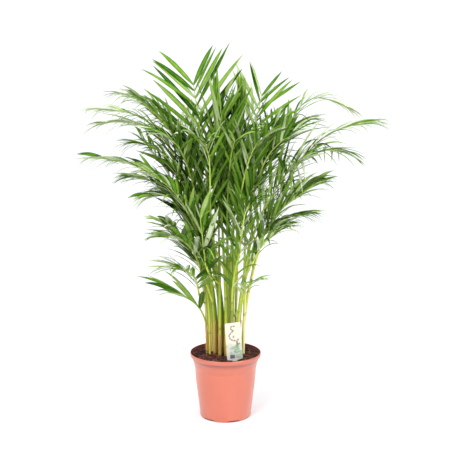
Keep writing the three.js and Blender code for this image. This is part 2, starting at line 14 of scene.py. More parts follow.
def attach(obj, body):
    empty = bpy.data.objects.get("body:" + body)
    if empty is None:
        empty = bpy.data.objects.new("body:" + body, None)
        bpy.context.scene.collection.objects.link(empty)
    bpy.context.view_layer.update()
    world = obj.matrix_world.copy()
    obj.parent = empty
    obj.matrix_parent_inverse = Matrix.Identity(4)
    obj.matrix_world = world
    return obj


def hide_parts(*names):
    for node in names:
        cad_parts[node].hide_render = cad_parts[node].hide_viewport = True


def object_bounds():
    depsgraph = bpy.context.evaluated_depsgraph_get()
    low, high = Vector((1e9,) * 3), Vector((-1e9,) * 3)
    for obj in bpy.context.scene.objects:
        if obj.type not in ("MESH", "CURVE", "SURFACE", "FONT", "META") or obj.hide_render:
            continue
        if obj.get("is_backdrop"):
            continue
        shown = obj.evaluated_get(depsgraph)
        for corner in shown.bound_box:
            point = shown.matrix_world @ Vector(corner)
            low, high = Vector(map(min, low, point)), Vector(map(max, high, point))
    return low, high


MM = 0.001

# Camera: where the photographer stood, and the pot's axis half a pixel right of the middle.
CAMERA_PLACE = (0, -3.0, 1.12)
CAMERA_PITCH = 10.27
CAMERA_LENS = 84
SENSOR_WIDTH = 36
VIEW_END = 100
PHOTO_WIDTH = 450
POT_AXIS_PX = 225.5

# Studio: a seamless round floor, an even sky and two softboxes (place, size in metres, watts).
FLOOR_RADIUS = 7.0
FLOOR_MIDDLE = 2.0
FLOOR_CURVE = 2.5
FLOOR_CURVE_STEPS = 12
FLOOR_WALL = 7.0
FLOOR_SEGMENTS = 96
SKY_STRENGTH = 1.1
SOFTBOXES = {
    "key": ((-2.0, -3.2, 3.0), 2.2, 130),
    "fill": ((2.6, -2.4, 1.8), 1.8, 70),
}
AIMED_AT = Vector((0, 0, 0.5))

# Pot: outside and inside profiles (radius, height), with a small bead under the flared rim, painted
# shade on the collar and on the inner wall above the soil, and holes and slots that drain it.
POT_SEGMENTS = 120
POT_OUTSIDE = [
    (0, 0), (24, 0), (25.2, 1.2), (28, 4), (60, 4), (62.8, 1.2), (64, 0), (72.6, 0),
    (74.2, 0.6), (75, 2), (81.6, 56), (88.5, 110), (90.9, 147), (91, 148), (91.6, 149),
    (94.7, 166.5), (95, 168), (95.8, 169), (99.3, 177), (99.5, 178), (100.3, 179.2),
    (103.6, 183), (104, 184), (104.7, 186), (105, 189), (104.9, 193.6), (104.2, 194.8),
]
POT_INSIDE = [
    (103.6, 195), (102.8, 194.2), (102.5, 192), (102, 186), (97.6, 178.5), (93.4, 168.5),
    (89.5, 148), (87, 110), (73.4, 1.5), (64.8, 1.5), (60.8, 5.5), (27.2, 5.5),
    (23.2, 1.5), (0, 1.5),
]
POT_SHARP_ANGLE = 32
# Painted shade from the collar up through the rim: the heights over which it comes in.
POT_COLLAR_SHADE_BAND = (163, 170)
# Painted shade on the inner wall above the soil: its heights, and the radius that parts the inner wall
# from the outer.
POT_INNER_SHADE_BAND = (170, 185)
POT_INNER_SHADE_RADIUS = (103.4, 103)
DRAIN_HOLES = {"count": 6, "radius": 6, "sides": 32, "depth": 20, "ring": 46}
DRAIN_SLOTS = {"count": 6, "width": 34, "height": 5, "through": 12, "ring": 74, "turn": 49}

# Soil: fills the pot, with a crumbly top of lumps, crumbs and longer chips (size and what is
# added to it at most, in millimetres).
SOIL_TOP = 187
SOIL_WALL = [(22.9, 1.8), (26.9, 5.8), (61.1, 5.8), (65.1, 1.8), (73.1, 1.8), (86.7, 110),
             (89.2, 148), (93.1, 168.5), (97.2, 178.5), (101.4, 185.5)]
SOIL_SEGMENTS = 120
SOIL_RINGS = 44
SOIL_SINK = 1.5
SOIL_ROUGHNESS = 2.6
SOIL_LUMP = 16
SOIL_GRIT = 5
SOIL_GRIT_SHARE = 0.6
CRUMBS = 900
CRUMB_SIZE = (0.8, 2.2)
CHIPS = 70
CHIP_SIZE = (1.4, 1.6)
CHIP_STRETCH = 2.8
CRUMBS_TO = 98
CRUMB = {"lift": 0.2, "tilt": 0.5, "roughness": 0.25, "flatness": 0.8}

# Label: a card with a pointed stake, printed in the card's own plane (across, up), with a
# grey green field that gives way to cream over the heights of its edge.
LABEL = {"width": 47, "height": 111, "thickness": 0.9, "corner": 4}
STAKE = {"width": 16, "length": 62, "point": 14, "shoulder": 3}
LABEL_PLACE = {"x": 28, "y": -66, "above": 2, "turn": 14, "lean": 3, "tilt": 4}
CARD_FRONT = -LABEL["thickness"] / 2
CORNER_STEPS = 6
FIELD_EDGE = (40, 58)
PRINT_DEPTH = 0.12
PRINTED_LEAF_STEPS = 8
# A printed sprig: pairs of leaves that get shorter and steeper up its stem (height, length and
# turn in degrees), and an end leaf (place, length, width, turn).
SPRIG_ACROSS = 8
SPRIG_WIDTH = 5
SPRIG_PAIRS = [(22, 13, 62), (28, 11.2, 53), (34, 9.4, 44), (40, 7.6, 35)]
SPRIG_END = (8, 44, 11, 4.4, 12)
SPRIG_STEM = [(7.4, 20), (8.6, 20), (8.4, 45), (7.6, 45)]
# A printed trail of leaves: where each leaf starts and the way it points, in degrees.
TRAIL_LEAF = (9, 5.6)
TRAIL = (
    (7, 99, 285), (-1, 102, 240), (-8, 97, 160), (-5, 91, 125), (1, 87, 240), (-6, 83, 220),
    (-12, 78, 190), (-13, 70, 155), (-9, 63, 125), (-2, 59, 100), (-1, 74, 170), (17, 62, 245),
    (11, 59, 205), (8, 52, 160), (11, 46, 70),
)
# A dark box with three short lines beside it (height and end of each).
PRINTED_BOX = [(-14, 6), (0, 6), (0, 17), (-14, 17)]
PRINTED_LINES = [(7, 15), (10.6, 13), (14.2, 11)]
LINES_FROM = 5

# Stalks and ribs.
STALK_SIDES = 12
STALK_STEP = 9
STALK_LEAST_STEPS = 12
STALK_DEPTH = 40
SHEATH_END = 0.36
SHEATH_RADIUS = 4.4
PETIOLE_RADIUS = 2.9
CHANNEL_DEPTH = 0.3
CHANNEL_FADE = 0.06
TIP_RADIUS = 1.1
TIP_LENGTH = 6
TIP_END_RADIUS = 0.25
ROOT_WIDTH = 5

# Heights between which the stalks turn from ochre feet to yellow green, and then to rib green.
STEM_BAND = (190, 320)
RIB_BAND = (420, 620)

# Dry sheaths: how many of the stalks have one, its height and the draw added to it, and its
# wall, which stands off the stalk, opens down one side and is torn along its top.
SHEATHED = 0.5
DRY_HEIGHT = (45, 70)
DRY_STEPS = 10
DRY_SIDES = 14
DRY_GAP = (0.5, 0.9)
DRY_OPENING = (0.5, 1.6)
DRY_WALL = 0.35
DRY_RAGS = 6

# Stalks stand close together in a column up to this height before they spread.
WAIST_HEIGHT = 335
WAIST_SPREAD = 1.04
WAIST_LEAN = 0.07

# Curves: what sets how tightly they turn, and the steps that they are worked out in.
CURVE_TENSION = 0.75
CURVE_STEPS = 96
REACH_STEPS = 24
FRAME_STEP = 0.02

# Leaflets: how they are set on the rib, and how much each differs from the next.
LAST_LEAFLET = 0.99
PAIR_SPREAD = 0.12
SLAT_ANGLE = 24
CLOSURE = 0.2
CROWDING = 1.25
OPEN_SPREAD = 9
FOLD_SPREAD = 12
SLAT_SPREAD = 14
SIZE_SPREAD = 0.12
DROP_SPREAD = 0.5
SEED = 11

# Slender leaflets between the pairs: only on fronds that sag this much or more.
PLUME_SAG = 0.35
SLENDER_WIDTH = 0.6
SLENDER_DROP = 1.5
SLENDER_SPREAD = 0.25
LAST_SLENDER_PLACE = 0.97
SLENDER_SEED = 907

# Blades: a midrib that arches down and turns towards the frond's tip, a width that grows from
# the foot and narrows to the tip, a slight twist and ripple, and a folded section, thickest at
# its keel (across it from -1 to 1, and on its upper side (1), lower side (-1) or edge (0)).
BLADE_STEPS = 14
BLADE_START = 0.005
BLADE_REACH = 0.985
ARCH = 1.6
TIPWARD = 0.12
FOOT_WIDTH = 0.3
WIDE_FROM = 0.35
NARROW_FROM = 0.5
LEAST_HALF_WIDTH = 0.25
BLADE_FOLD = 0.22
BLADE_THICKNESS = 0.42
BLADE_TWIST = 10
RIPPLE = 0.06
RIPPLES = 2.5
KEEL = 1.8
BLADE_SECTION = ((-1, 0), (-0.5, 1), (0, 1), (0.5, 1), (1, 0), (0.5, -1), (0, -1), (-0.5, -1))

# Tone of a leaflet, from 0 (darkest green) to 1 (palest): darker near the plant's axis (painted shade)
# and paler at its edge (painted light), and paler in the low and the high fronds, where high leaflets
# are also more alike.
FROND_TONE = 0.45
FROND_TONE_SPREAD = 0.16
PLANT_RADIUS = 400
EDGE_LIGHT_CORE_SHADE = 0.74
EVEN_AWAY = 0.38
LOW_BAND = (640, 440)
LOW_TONE = 0.28
HIGH_BAND = (800, 920)
HIGH_TONE = 0.24
TONE_SPREAD = 0.54
TONE_SPREAD_LOST = 0.28
LOOKS_SEED = 5003

# Colours, as sRGB numbers, with the place of each on its ramp where a surface has several.
POT_CLAY = [(0.3, (185, 92, 68)), (0.7, (191, 100, 75))]
POT_FLECK = (166, 82, 62)
# Painted shade on the collar and the rim.
POT_COLLAR_SHADE = (168, 78, 56)
# Painted shade on the pot's inner wall, a dark red brown.
POT_INNER_SHADE = (92, 30, 18)
# The earth's own uneven tone, with painted shade in its pits.
EARTH_AND_PIT_SHADE = [(0.4, (14, 2, 2)), (0.5, (66, 27, 17)), (0.6, (138, 76, 58))]
SOIL_GRAIN = (150, 104, 86)
LEAF_GREENS = [
    (0.0, (8, 42, 0)), (0.3, (54, 116, 0)), (0.55, (122, 172, 42)), (0.75, (172, 208, 100)),
    (1.0, (238, 246, 212)),
]
LEAF_VEIN = (34, 70, 26)
LEAF_MIDRIB = (172, 196, 104)
LEAF_UNDERSIDE = (110, 156, 60)
LEAF_TIP = (136, 112, 60)
LEAF_GLOW = (120, 190, 20)
STALK_FOOT = [
    (0.0, (132, 104, 34)), (0.22, (206, 172, 66)), (0.45, (226, 200, 92)), (0.8, (230, 224, 150)),
]
STALK_STEM = [
    (0.0, (108, 138, 30)), (0.35, (154, 178, 50)), (0.65, (194, 200, 78)), (1.0, (214, 214, 132)),
]
STALK_RIB = (164, 196, 84)
STALK_STREAK = (98, 104, 24)
STALK_SCAR = (104, 74, 34)
STALK_SPECK = (92, 62, 28)
SHEATH_FIBRE = [(0.3, (124, 92, 38)), (0.55, (182, 152, 74)), (0.75, (212, 194, 118))]
CARD_CREAM = (206, 197, 178)
CARD_FIELD = [(0.38, (136, 152, 132)), (0.58, (184, 182, 172))]
SPRIG_INK = [(0.35, (106, 138, 104)), (0.65, (134, 160, 128))]
SOFT_INK = [(0.35, (126, 112, 104)), (0.65, (156, 144, 130))]
DARK_INK = [(0.35, (74, 66, 84)), (0.65, (96, 88, 104))]
FLOOR_WHITE = [(0.3, (244, 244, 246)), (0.7, (248, 248, 250))]

# Shoots: the place of each foot in the soil and the stalk's radius there, by number.
SHOOTS = {
    1: (-38, 36, 5.2), 2: (-26, 17, 5.4), 3: (-13, 2, 5.7), 4: (2, -11, 5.7),
    5: (19, -4, 5.4), 6: (35, 9, 5.4), 7: (52, 28, 5.4), 8: (-18, 39, 5.4),
    9: (0, 25, 5.4), 10: (19, 23, 5.2), 11: (38, 46, 5.2), 12: (14, 50, 5.2),
    13: (-6, 64, 5.2), 14: (-34, 62, 5.2), 15: (-54, 20, 4.4), 16: (35, -9, 4.0),
    17: (-32, -2, 4.2), 18: (10, 9, 4.4), 19: (-16, -17, 4.2), 20: (53, 8, 4.2),
    21: (-18, 56, 3.5), 22: (29, 33, 3.5), 23: (-48, 50, 3.5), 24: (-46, 3, 3.5),
    25: (3, 41, 3.5), 26: (18, -22, 3.5),
}

# Fronds: shoot, where it leaves the shoot's first frond (0 is the soil), three points its rib
# passes (knee, crest, tip), bare share, leaflet pairs, leaflet length and width, sag, opening
# angle, fold angle and roll of the frond about its rib. A shoot's first frond comes first.
FRONDS = [
    (3, 0, (-60, -35, 565), (-115, -150, 795), (-145, -260, 855), 0.5, 11, 180, 12, 0.35, 32, 25, 0),
    (3, 0.3, (-80, -60, 480), (-90, -70, 545), (-100, -95, 595), 0.3, 4, 125, 16, 0.3, 30, 20, 0),
    (8, 0, (-40, 45, 575), (-70, 65, 815), (-95, 80, 990), 0.42, 16, 242, 16, 0.18, 45, 10, -64),
    (8, 0.35, (-95, -20, 725), (-185, -30, 890), (-250, -40, 945), 0.45, 13, 145, 10, 0.45, 44, 10, 0),
    (9, 0, (15, 30, 645), (40, 50, 790), (60, 60, 935), 0.52, 11, 188, 13, 0.12, 36, 20, -20),
    (10, 0, (45, 60, 640), (85, 110, 840), (110, 125, 955), 0.52, 13, 188, 12, 0.16, 42, 12, 40),
    (11, 0, (150, 90, 785), (255, 110, 935), (365, 110, 905), 0.42, 15, 150, 8, 0.5, 48, 5, 0),
    (11, 0.4, (75, 100, 635), (155, 200, 810), (215, 250, 850), 0.4, 11, 165, 11, 0.4, 42, 20, 0),
    (7, 0, (170, -20, 695), (285, -40, 840), (420, -40, 880), 0.4, 15, 150, 8, 0.5, 46, 5, 0),
    (7, 0.3, (80, -30, 500), (150, -60, 595), (220, -70, 620), 0.4, 9, 120, 10, 0.5, 42, 10, 0),
    (7, 0.38, (70, -80, 605), (115, -160, 795), (160, -210, 850), 0.45, 11, 175, 12, 0.3, 30, 25, 0),
    (6, 0, (145, 50, 670), (230, -80, 790), (345, 30, 790), 0.42, 12, 150, 8, 0.55, 48, 5, 0),
    (6, 0.28, (80, -60, 510), (160, -90, 640), (245, -100, 705), 0.4, 12, 150, 11, 0.42, 38, 15, 0),
    (6, 0.35, (35, -80, 575), (65, -200, 795), (85, -260, 845), 0.45, 11, 185, 12, 0.3, 27, 25, 0),
    (13, 0, (-90, 70, 685), (-205, 110, 915), (-315, 120, 950), 0.45, 14, 150, 8, 0.5, 48, 5, 0),
    (13, 0.35, (-30, 110, 635), (-45, 210, 840), (-55, 280, 875), 0.42, 11, 175, 12, 0.2, 28, 25, 0),
    (1, 0, (-110, 0, 700), (-235, -10, 885), (-375, -10, 915), 0.42, 15, 150, 8, 0.5, 50, 5, 0),
    (1, 0.4, (-95, 30, 570), (-205, 50, 695), (-275, 50, 710), 0.35, 8, 125, 10, 0.5, 42, 10, 0),
    (14, 0, (-110, 60, 670), (-240, 80, 855), (-365, 90, 865), 0.42, 14, 150, 8, 0.5, 48, 5, 0),
    (14, 0.4, (-65, 100, 620), (-115, 200, 830), (-150, 270, 855), 0.4, 12, 175, 12, 0.3, 34, 20, 0),
    (2, 0, (-95, -50, 645), (-190, -80, 805), (-255, -90, 825), 0.42, 11, 150, 8, 0.5, 44, 5, 0),
    (2, 0.3, (-80, -60, 545), (-155, -85, 670), (-210, -90, 675), 0.35, 9, 135, 13, 0.6, 42, 10, 0),
    (15, 0, (-100, -20, 555), (-220, -40, 735), (-370, -50, 780), 0.42, 14, 150, 9, 0.45, 46, 5, 0),
    (15, 0.1, (-70, 5, 315), (-90, -10, 345), (-140, -35, 380), 0.35, 4, 165, 17, 0.3, 30, 10, 0),
    (15, 0.2, (-70, 0, 350), (-95, -70, 445), (-135, -100, 470), 0.35, 7, 135, 12, 0.48, 44, 10, 0),
    (3, 0.25, (-75, -40, 465), (-125, -90, 555), (-165, -120, 600), 0.3, 8, 125, 17, 0.4, 40, 10, 0),
    (4, 0, (-10, -60, 600), (-20, -110, 805), (-10, -150, 915), 0.55, 11, 200, 13, 0.15, 26, 25, 0),
    (4, 0.35, (-35, -90, 550), (-45, -200, 800), (-55, -260, 840), 0.45, 11, 190, 13, 0.3, 26, 25, 0),
    (5, 0, (5, -50, 545), (15, -190, 800), (25, -270, 850), 0.52, 11, 190, 13, 0.3, 26, 25, 0),
    (5, 0.15, (45, -40, 345), (60, -50, 400), (80, -80, 430), 0.5, 4, 85, 9, 0.48, 45, 10, 0),
    (5, 0.25, (35, -70, 480), (55, -180, 645), (65, -220, 675), 0.5, 7, 150, 12, 0.35, 28, 25, 0),
    (12, 0, (30, 100, 620), (65, 200, 835), (90, 260, 905), 0.5, 11, 185, 12, 0.2, 30, 25, 0),
    (16, 0, (100, -100, 625), (165, -90, 730), (200, -170, 785), 0.48, 10, 150, 11, 0.4, 40, 15, 0),
    (16, 0.3, (70, -50, 460), (110, -80, 540), (160, -100, 590), 0.36, 9, 125, 11, 0.5, 40, 10, 0),
    (17, 0, (-75, -90, 560), (-145, -150, 700), (-205, -160, 750), 0.4, 11, 140, 12, 0.4, 40, 15, 0),
    (17, 0.25, (-65, -60, 440), (-105, -110, 540), (-160, -140, 570), 0.32, 9, 140, 15, 0.45, 38, 10, 0),
    (18, 0, (20, -40, 570), (35, -90, 745), (40, -120, 810), 0.52, 9, 180, 12, 0.2, 25, 25, 0),
    (19, 0, (-20, -10, 635), (-25, -20, 795), (-35, -10, 915), 0.52, 10, 195, 13, 0.2, 28, 25, 20),
    (19, 0.3, (-50, -110, 465), (-65, -140, 575), (-70, -160, 640), 0.3, 4, 130, 16, 0.3, 24, 20, 0),
    (20, 0, (70, -45, 685), (125, 50, 790), (190, 20, 840), 0.5, 9, 160, 10, 0.4, 42, 15, 0),
    (21, 0, (-55, 50, 565), (-85, 70, 715), (-105, 80, 785), 0.52, 7, 150, 11, 0.3, 36, 20, 0),
    (22, 0, (50, 60, 595), (110, 90, 740), (165, 130, 810), 0.5, 7, 140, 11, 0.35, 38, 20, 0),
    (23, 0, (-105, 60, 595), (-195, 80, 755), (-250, 90, 820), 0.45, 8, 130, 10, 0.4, 42, 15, 0),
    (24, 0, (-75, -35, 540), (-115, -75, 645), (-150, -90, 690), 0.46, 8, 120, 12, 0.45, 42, 10, 0),
    (25, 0, (10, 50, 640), (20, 60, 760), (25, 70, 825), 0.52, 6, 165, 12, 0.25, 34, 25, 0),
    (26, 0, (30, -90, 535), (55, -130, 655), (80, -150, 715), 0.5, 7, 140, 12, 0.35, 36, 20, 0),
    (26, 0.25, (20, -85, 405), (30, -105, 480), (45, -125, 530), 0.35, 3, 105, 12, 0.5, 30, 15, 0),
]

UP = Vector((0, 0, 1))


class Draws:
    """Seeded draws, so every run grows the same plant."""

    def __init__(self, seed):
        self.state = seed

    def share(self):
        self.state = (1664525 * self.state + 1013904223) % 4294967296
        return self.state / 4294967296

    def spread(self, amount):
        return amount * (2 * self.share() - 1)


def square(vector, axis):
    """The part of a vector that is square to an axis, at unit length."""
    return (vector - axis * vector.dot(axis)).normalized()


def turned_about(vector, axis, degrees):
    return Matrix.Rotation(math.radians(degrees), 3, axis) @ vector


def way(value, start, end):
    """How far a value is on its way from start to end, held between 0 and 1."""
    return min(1, max(0, (value - start) / (end - start)))


def drawn(draws, sizes):
    """A size between the first of two and their sum."""
    return sizes[0] + sizes[1] * draws.share()


# ---- Meshes


class Shape:
    """Vertices in millimetres, faces, a material number for each face and values for shading."""

    def __init__(self):
        self.vertices = []
        self.faces = []
        self.materials = []
        self.marks = []

    def point(self, place, mark=(0, 0, 0)):
        self.vertices.append(place)
        self.marks.append(mark)
        return len(self.vertices) - 1

    def face(self, corners, material=0):
        self.faces.append(corners)
        self.materials.append(material)

    def skin(self, rings, material=0):
        """Faces between rings of vertices; a ring on the axis is one vertex over and over."""
        for low, high in zip(rings, rings[1:]):
            for k in range(len(low)):
                m = (k + 1) % len(low)
                self.face(tuple(dict.fromkeys((low[k], low[m], high[m], high[k]))), material)

    def tube(self, rings, marks=None, material=0):
        """A closed body through rings of places, with a flat cap at each end."""
        marks = marks or [[(0, 0, 0)] * len(ring) for ring in rings]
        corners = [list(map(self.point, ring, ring_marks)) for ring, ring_marks in zip(rings, marks)]
        self.skin(corners, material)
        self.face(tuple(reversed(corners[0])), material)
        self.face(tuple(corners[-1]), material)


def mesh_of(shape, name, materials, smooth=True):
    mesh = bpy.data.meshes.new(name)
    mesh.from_pydata([v * MM for v in shape.vertices], [], shape.faces)
    mesh.polygons.foreach_set("use_smooth", [smooth] * len(shape.faces))
    for material in materials:
        mesh.materials.append(material)
    return mesh


def placed(name, data):
    """A new object in the scene."""
    made = bpy.data.objects.new(name, data)
    bpy.context.scene.collection.objects.link(made)
    return made


def piece_of(shape, name, materials, node, smooth=True):
    """An object at the origin with its place in its mesh, which stands for a node."""
    mesh = mesh_of(shape, name, materials, smooth)
    mesh.polygons.foreach_set("material_index", shape.materials)
    marks = mesh.attributes.new("marks", "FLOAT_VECTOR", "POINT")
    marks.data.foreach_set("vector", [value for mark in shape.marks for value in mark])
    mesh.validate()
    piece = placed(name, mesh)
    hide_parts(node)
    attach(piece, "root")
    return piece


def circle(radius, segments):
    """Places round the axis, as pairs of X and Y."""
    turns = [2 * math.pi * k / segments for k in range(segments)]
    return [(radius * math.cos(turn), radius * math.sin(turn)) for turn in turns]


def lathe(profile, segments):
    """A turned body, closed where its profile starts and ends on the axis."""
    shape = Shape()
    rings = []
    for radius, height in profile:
        if radius == 0:
            rings.append([shape.point(Vector((0, 0, height)))] * segments)
        else:
            rings.append([shape.point(Vector((x, y, height))) for x, y in circle(radius, segments)])
    shape.skin(rings)
    return shape


# ---- Materials


class Material:
    """A material's node tree, with short names for the nodes that are used here."""

    def __init__(self, name):
        self.made = bpy.data.materials.new(name)
        self.made.use_nodes = True
        self.nodes = self.made.node_tree.nodes
        self.links = self.made.node_tree.links
        self.shader = self.nodes["Principled BSDF"]
        self.output = self.nodes["Material Output"]

    def node(self, kind, inputs=None, **settings):
        made = self.nodes.new("ShaderNode" + kind)
        for name, value in settings.items():
            setattr(made, name, value)
        for name, value in (inputs or {}).items():
            self.put(value, made.inputs[name])
        return made

    def put(self, value, socket):
        if isinstance(value, bpy.types.NodeSocket):
            self.links.new(value, socket)
        else:
            socket.default_value = value

    def set(self, **inputs):
        for name, value in inputs.items():
            self.put(value, self.shader.inputs[name.replace("_", " ")])

    def place(self):
        return self.node("TexCoord").outputs["Object"]

    def marks(self):
        read = self.node("Attribute", attribute_name="marks").outputs["Vector"]
        return self.node("SeparateXYZ", {"Vector": read}).outputs

    def noise(self, vector, scale, detail=4.0, roughness=0.55):
        inputs = {"Vector": vector, "Scale": scale, "Detail": detail, "Roughness": roughness}
        return self.node("TexNoise", inputs).outputs["Fac"]

    def stretched(self, vector, scale):
        return self.node("Mapping", {"Vector": vector, "Scale": scale}).outputs["Vector"]

    def ramp(self, value, stops):
        made = self.node("ValToRGB", {"Fac": value})
        points = made.color_ramp.elements
        while len(points) < len(stops):
            points.new(0.5)
        for point, (place, colour) in zip(points, stops):
            point.position = place
            point.color = colour_of(colour)
        return made.outputs["Color"]

    def mix(self, share, one, other):
        made = self.node("Mix", data_type="RGBA")
        self.put(share, made.inputs[0])
        self.put(colour_of(one), made.inputs[6])
        self.put(colour_of(other), made.inputs[7])
        return made.outputs[2]

    def times(self, one, other):
        return self.math("MULTIPLY", one, other)

    def plus(self, one, other):
        return self.math("ADD", one, other)

    def math(self, operation, *values):
        made = self.node("Math", operation=operation)
        for i, value in enumerate(values):
            self.put(value, made.inputs[i])
        return made.outputs[0]

    def between(self, value, low, high, to_low=0.0, to_high=1.0):
        names = ("Value", "From Min", "From Max", "To Min", "To Max")
        values = (value, low, high, to_low, to_high)
        return self.node("MapRange", dict(zip(names, values))).outputs[0]

    def over(self, length, band, to_low=0.0, to_high=1.0):
        """How far a length is through a band in millimetres."""
        return self.between(length, band[0] * MM, band[1] * MM, to_low, to_high)

    def bump(self, height, strength, distance):
        inputs = {"Height": height, "Strength": strength, "Distance": distance}
        self.set(Normal=self.node("Bump", inputs).outputs["Normal"])


def colour_of(value):
    """A linear colour from sRGB numbers of 0 to 255; a socket stays as it is."""
    if isinstance(value, bpy.types.NodeSocket):
        return value
    linear = [c / 255 / 12.92 if c <= 10 else ((c / 255 + 0.055) / 1.055) ** 2.4 for c in value]
    return (*linear, 1)


def pot_material():
    """Glossy plastic, with painted shade from the collar up through the rim and on the inner wall above
    the soil.
    """
    made = Material("terracotta_plastic")
    place = made.place()
    broad = made.noise(place, scale=9, detail=3)
    fine = made.noise(place, scale=260, detail=3)
    rings = made.noise(made.stretched(place, (2, 2, 240)), scale=3, detail=2)
    colour = made.ramp(broad, POT_CLAY)
    colour = made.mix(made.between(fine, 0.55, 0.75, 0, 0.08), colour, POT_FLECK)
    x, y, height = made.node("SeparateXYZ", {"Vector": place}).outputs
    # Painted shade: a little darker from the collar up through the rim.
    colour = made.mix(made.over(height, POT_COLLAR_SHADE_BAND, 0, 0.3), colour, POT_COLLAR_SHADE)
    # Painted shade: the inner wall just above the soil is darkened to a dark red brown.
    squares = made.plus(made.math("POWER", x, 2.0), made.math("POWER", y, 2.0))
    inside = made.over(made.math("SQRT", squares), POT_INNER_SHADE_RADIUS)
    inner_shade = made.times(inside, made.over(height, POT_INNER_SHADE_BAND, 0, 0.8))
    colour = made.mix(inner_shade, colour, POT_INNER_SHADE)
    made.set(Base_Color=colour, Roughness=made.between(broad, 0.3, 0.7, 0.29, 0.31))
    made.set(Specular_IOR_Level=0.8, Coat_Weight=0.25, Coat_Roughness=0.2)
    relief = made.plus(made.times(rings, 0.6), made.times(fine, 0.5))
    made.bump(relief, strength=0.12, distance=0.0004)
    return made.made


def soil_material():
    """Dark, loose earth with paler lumps and grains, and painted shade in the hollows between its lumps.
    """
    made = Material("potting_soil")
    place = made.place()
    lumps = made.noise(place, scale=105, detail=6, roughness=0.7)
    grains = made.noise(place, scale=420, detail=4, roughness=0.7)
    # The earth's own tone, darkest where the relief is lowest: painted shade in its pits.
    colour = made.ramp(lumps, EARTH_AND_PIT_SHADE)
    colour = made.mix(made.between(grains, 0.62, 0.75, 0, 0.5), colour, SOIL_GRAIN)
    made.set(Base_Color=colour, Roughness=0.95)
    relief = made.plus(lumps, made.times(grains, 0.6))
    made.bump(relief, strength=1.0, distance=0.004)
    return made.made


def leaf_material():
    """Green with fine veins, a pale midrib, a duller underside and a dry tip.

    Marks on a blade: across it (-1 to 1), along it (0 to 1, with 2 added below), tone.
    """
    made = Material("palm_leaf")
    across, run, tone = made.marks()[:3]
    below = made.math("GREATER_THAN", run, 1.5)
    along = made.math("SUBTRACT", run, made.times(below, 2.0))
    patches = made.noise(made.place(), scale=22, detail=3)
    shade = made.plus(tone, made.between(patches, 0.3, 0.7, -0.12, 0.12))
    colour = made.ramp(shade, LEAF_GREENS)
    veins = made.between(made.math("SINE", made.times(across, 48.0)), -1, 1)
    colour = made.mix(made.times(veins, 0.16), colour, LEAF_VEIN)
    crest = made.between(made.math("ABSOLUTE", across), 0.03, 0.1, 1, 0)
    colour = made.mix(made.times(crest, 0.55), colour, LEAF_MIDRIB)
    colour = made.mix(made.times(below, 0.3), colour, LEAF_UNDERSIDE)
    colour = made.mix(made.between(along, 0.965, 1.0, 0, 0.7), colour, LEAF_TIP)
    made.set(Base_Color=colour, Roughness=0.56, Specular_IOR_Level=0.06)
    relief = made.plus(veins, made.times(crest, 1.5))
    made.bump(relief, strength=0.25, distance=0.0003)
    return translucent(made, colour, 0.25)


def translucent(made, colour, share):
    """Light that comes through a thin blade from its other side."""
    glow = made.node("BsdfTranslucent", {"Color": made.mix(0.4, colour, LEAF_GLOW)})
    both = made.node("MixShader", {"Fac": share})
    made.links.new(made.shader.outputs[0], both.inputs[1])
    made.links.new(glow.outputs[0], both.inputs[2])
    made.links.new(both.outputs[0], made.output.inputs["Surface"])
    return made.made


def stalk_material():
    """Ochre at the foot and yellow green above, with streaks, ringed scars and brown specks.

    Marks on a stalk: how far along it (0 to 1), turn round it (0 to 1), tone.
    """
    made = Material("palm_stalk")
    _, turn, tone = made.marks()[:3]
    height = made.node("SeparateXYZ", {"Vector": made.place()}).outputs["Z"]
    streak_place = made.node("CombineXYZ", {
        "X": made.times(turn, 14.0),
        "Y": made.times(tone, 9.0),
        "Z": made.times(height, 7.0),
    }).outputs[0]
    streaks = made.noise(streak_place, scale=2.2, detail=4)
    kind = made.plus(tone, made.between(streaks, 0.3, 0.7, -0.25, 0.25))
    foot, stem = made.ramp(kind, STALK_FOOT), made.ramp(kind, STALK_STEM)
    colour = made.mix(made.over(height, STEM_BAND), foot, stem)
    colour = made.mix(made.over(height, RIB_BAND, 0, 0.7), colour, STALK_RIB)
    colour = made.mix(made.between(streaks, 0.54, 0.66, 0, 0.6), colour, STALK_STREAK)
    scar_place = made.node("CombineXYZ", {"X": tone, "Z": height}).outputs[0]
    scars = made.noise(scar_place, scale=60, detail=1)
    colour = made.mix(made.between(scars, 0.62, 0.66, 0, 0.45), colour, STALK_SCAR)
    specks = made.noise(made.place(), scale=900, detail=2)
    colour = made.mix(made.between(specks, 0.66, 0.72, 0, 0.35), colour, STALK_SPECK)
    made.set(Base_Color=colour, Roughness=0.38, Specular_IOR_Level=0.25)
    made.bump(streaks, strength=0.3, distance=0.0006)
    return made.made


def sheath_material():
    """Papery, with fibres that run up it. Marks: how far up it, turn round it."""
    made = Material("dry_sheath")
    along, turn = made.marks()[:2]
    fibre_place = made.node("CombineXYZ", {"X": made.times(turn, 60.0), "Y": along})
    fibres = made.noise(fibre_place.outputs[0], scale=1.6, detail=4)
    made.set(Base_Color=made.ramp(fibres, SHEATH_FIBRE), Roughness=0.7)
    made.bump(fibres, strength=0.5, distance=0.0008)
    return made.made


def card_material():
    """The label's card: cream above, a grey green field below, with a soft printed edge."""
    made = Material("label_card")
    height = made.marks()[1]
    wave = made.noise(made.place(), scale=60, detail=2)
    edge = made.plus(height, made.between(wave, 0.3, 0.7, -6.0, 6.0))
    blots = made.noise(made.place(), scale=75, detail=3)
    field = made.ramp(blots, CARD_FIELD)
    colour = made.mix(made.between(edge, *FIELD_EDGE), field, CARD_CREAM)
    grain = made.noise(made.place(), scale=1400, detail=2)
    made.set(Base_Color=colour, Roughness=made.between(grain, 0.3, 0.7, 0.3, 0.4))
    made.bump(grain, strength=0.1, distance=0.0001)
    return made.made


